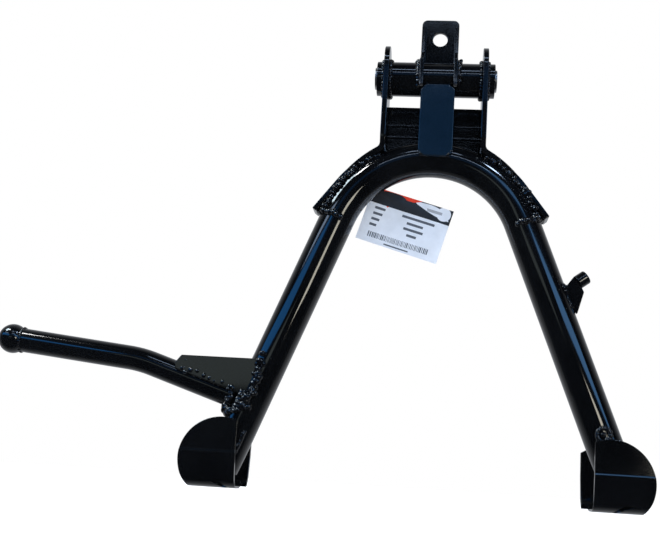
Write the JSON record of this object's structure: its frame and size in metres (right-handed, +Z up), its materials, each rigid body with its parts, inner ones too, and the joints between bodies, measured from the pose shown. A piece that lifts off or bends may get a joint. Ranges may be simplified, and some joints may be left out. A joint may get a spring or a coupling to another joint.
{
  "type": "motorcycle centre stand",
  "caption": "Two-legged tubular motorcycle stand with a cross pivot, bent-plate shoes, a ball-ended foot lever, a spring hook and a drilled top tab.",
  "frame": {"origin": "centre of the pivot, on its axis midway between the side plates", "axes": "+X along the pivot towards the spring hook leg, -X towards the foot lever; +Z up from the feet to the pivot; -Y is the side the feet swing up to when the stand folds"},
  "size_m": [0.4646, 0.039, 0.3505],
  "materials": {
    "gloss_black": "gloss",
    "weld_black": "gloss over rough weld metal",
    "collar_steel": "zinc plated",
    "label_card": "coated card"
  },
  "bodies": {
    "pivot": {"pivot_collar": "collar_steel"},
    "stand": {"pivot_tube": "gloss_black", "frame_pipe": "gloss_black", "left_side_plate": "gloss_black", "right_side_plate": "gloss_black", "web_plate": "gloss_black", "front_strap": "gloss_black", "top_tab": "gloss_black", "left_foot": "gloss_black", "right_foot": "gloss_black", "foot_lever": "gloss_black", "lever_knob": "gloss_black", "lever_gusset": "gloss_black", "spring_hook_plate": "gloss_black", "spring_hook_stud": "gloss_black", "vent_plug": "weld_black", "pivot_welds": "weld_black", "tab_welds": "weld_black", "strap_weld": "weld_black", "web_weld": "weld_black", "left_flange_welds": "weld_black", "right_flange_welds": "weld_black", "left_foot_weld": "weld_black", "right_foot_weld": "weld_black", "gusset_welds": "weld_black", "lever_weld": "weld_black", "hook_weld": "weld_black", "label_card": "label_card"}
  },
  "joints": [
    {"name": "stand_swing", "type": "hinge", "parent": "pivot", "child": "stand", "pos_m": [0, 0, 0], "axis": [-1, 0, 0], "range_deg": [0, 78]}
  ]
}
